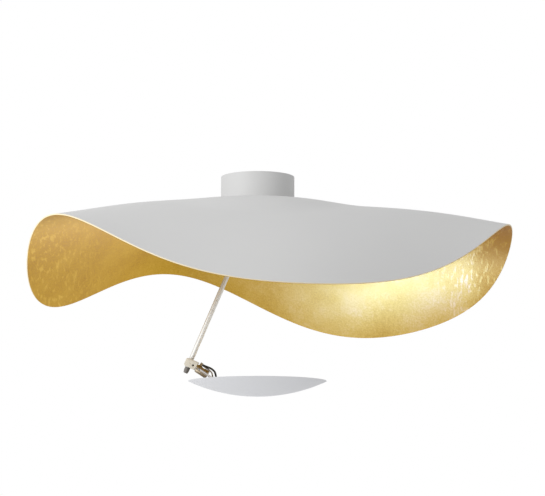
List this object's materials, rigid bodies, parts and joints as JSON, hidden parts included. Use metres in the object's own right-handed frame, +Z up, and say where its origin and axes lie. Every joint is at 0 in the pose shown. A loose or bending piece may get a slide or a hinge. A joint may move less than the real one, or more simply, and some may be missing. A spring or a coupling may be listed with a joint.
{
  "type": "wave ceiling light",
  "caption": "Ceiling light: a round sheet bent into a wave, white above and gold-leafed below, lit from beneath by an adjustable LED disc on a leaning rod.",
  "frame": {"origin": "middle of the face that lies on the ceiling", "axes": "+Z up into the ceiling, +X to the right of a viewer in front of the lamp, who stands at -Y; the rod leans towards -X"},
  "size_m": [0.5999, 0.5408, 0.273],
  "materials": {
    "white_satin_paint_on_steel": "satin white paint",
    "white_satin_paint_on_aluminium": "satin white paint",
    "gold_leaf": "gold leaf on a lacquer ground",
    "zinc_plated_steel": "zinc plated",
    "black_steel": "black oxide",
    "pale_nickel_plate": "satin nickel plate",
    "pale_brass": "satin pale brass",
    "polished_brass": "polished",
    "bright_steel": "polished",
    "white_steel_lug": "satin white paint",
    "natural_nylon": "matt",
    "white_plastic": "matt",
    "dark_grey_plastic": "matt",
    "black_rubber": "matt",
    "black_cable": "matt",
    "grey_cable": "matt",
    "opal_plastic": "opal",
    "circuit_board": "white solder mask",
    "led_phosphor": "satin",
    "mill_aluminium": "mill finish"
  },
  "bodies": {
    "canopy": {"ceiling_plate": "zinc_plated_steel", "cable_grommet": "black_rubber", "canopy_cup": "white_satin_paint_on_steel", "cup_screws": "zinc_plated_steel", "led_driver": "white_plastic", "driver_screws": "zinc_plated_steel", "terminal_block": "white_plastic", "terminal_screws": "polished_brass", "cup_gasket": "black_rubber", "reflector_shell": "white_satin_paint_on_aluminium", "gold_leaf_lining": "gold_leaf", "centre_bush": "polished_brass", "nut_washer": "zinc_plated_steel", "ring_nut": "zinc_plated_steel"},
    "arm": {"rod_socket": "pale_nickel_plate", "swivel_washer": "natural_nylon", "wave_washer": "zinc_plated_steel", "spigot_nut": "zinc_plated_steel", "rod": "pale_nickel_plate", "rod_screw": "zinc_plated_steel", "rod_end_cap": "dark_grey_plastic", "rod_lead": "black_cable"},
    "slider": {"rod_sleeve": "natural_nylon"},
    "clamp": {"clamp_block": "pale_brass", "clamp_screw": "zinc_plated_steel", "fork_screw": "black_steel"},
    "fork": {"fork_washer": "bright_steel", "tilt_fork": "polished_brass", "pivot_screw": "polished_brass"},
    "disc": {"disc_lug": "white_steel_lug", "lug_screws": "bright_steel", "disc_bowl": "white_satin_paint_on_aluminium", "top_ring": "white_satin_paint_on_aluminium", "diffuser": "opal_plastic", "led_board": "circuit_board", "led_chips": "led_phosphor", "heat_spreader": "mill_aluminium", "spacers": "mill_aluminium", "ring_screws": "zinc_plated_steel", "centre_stud": "zinc_plated_steel", "centre_nut": "zinc_plated_steel", "lead_grommets": "black_rubber", "black_lead": "black_cable", "grey_lead": "grey_cable"}
  },
  "joints": [
    {"name": "rod_swivel", "type": "hinge", "parent": "canopy", "child": "arm", "pos_m": [0, 0, -0.0388], "axis": [0, 0, 1], "range_deg": [-170, 170]},
    {"name": "clamp_slide", "type": "slide", "parent": "arm", "child": "slider", "axis": [0.3907, 0, 0.9205], "range_m": [0, 0.04]},
    {"name": "clamp_turn", "type": "hinge", "parent": "slider", "child": "clamp", "pos_m": [-0.08381, 0, -0.23245], "axis": [0.3907, 0, 0.9205], "range_deg": [-60, 60]},
    {"name": "fork_roll", "type": "hinge", "parent": "clamp", "child": "fork", "pos_m": [-0.07543, 0, -0.23789], "axis": [0.8387, 0, -0.5446], "range_deg": [-60, 60]},
    {"name": "disc_swing", "type": "hinge", "parent": "fork", "child": "disc", "pos_m": [-0.06872, 0, -0.24225], "axis": [0.5446, 0, 0.8387], "range_deg": [-50, 50]}
  ]
}
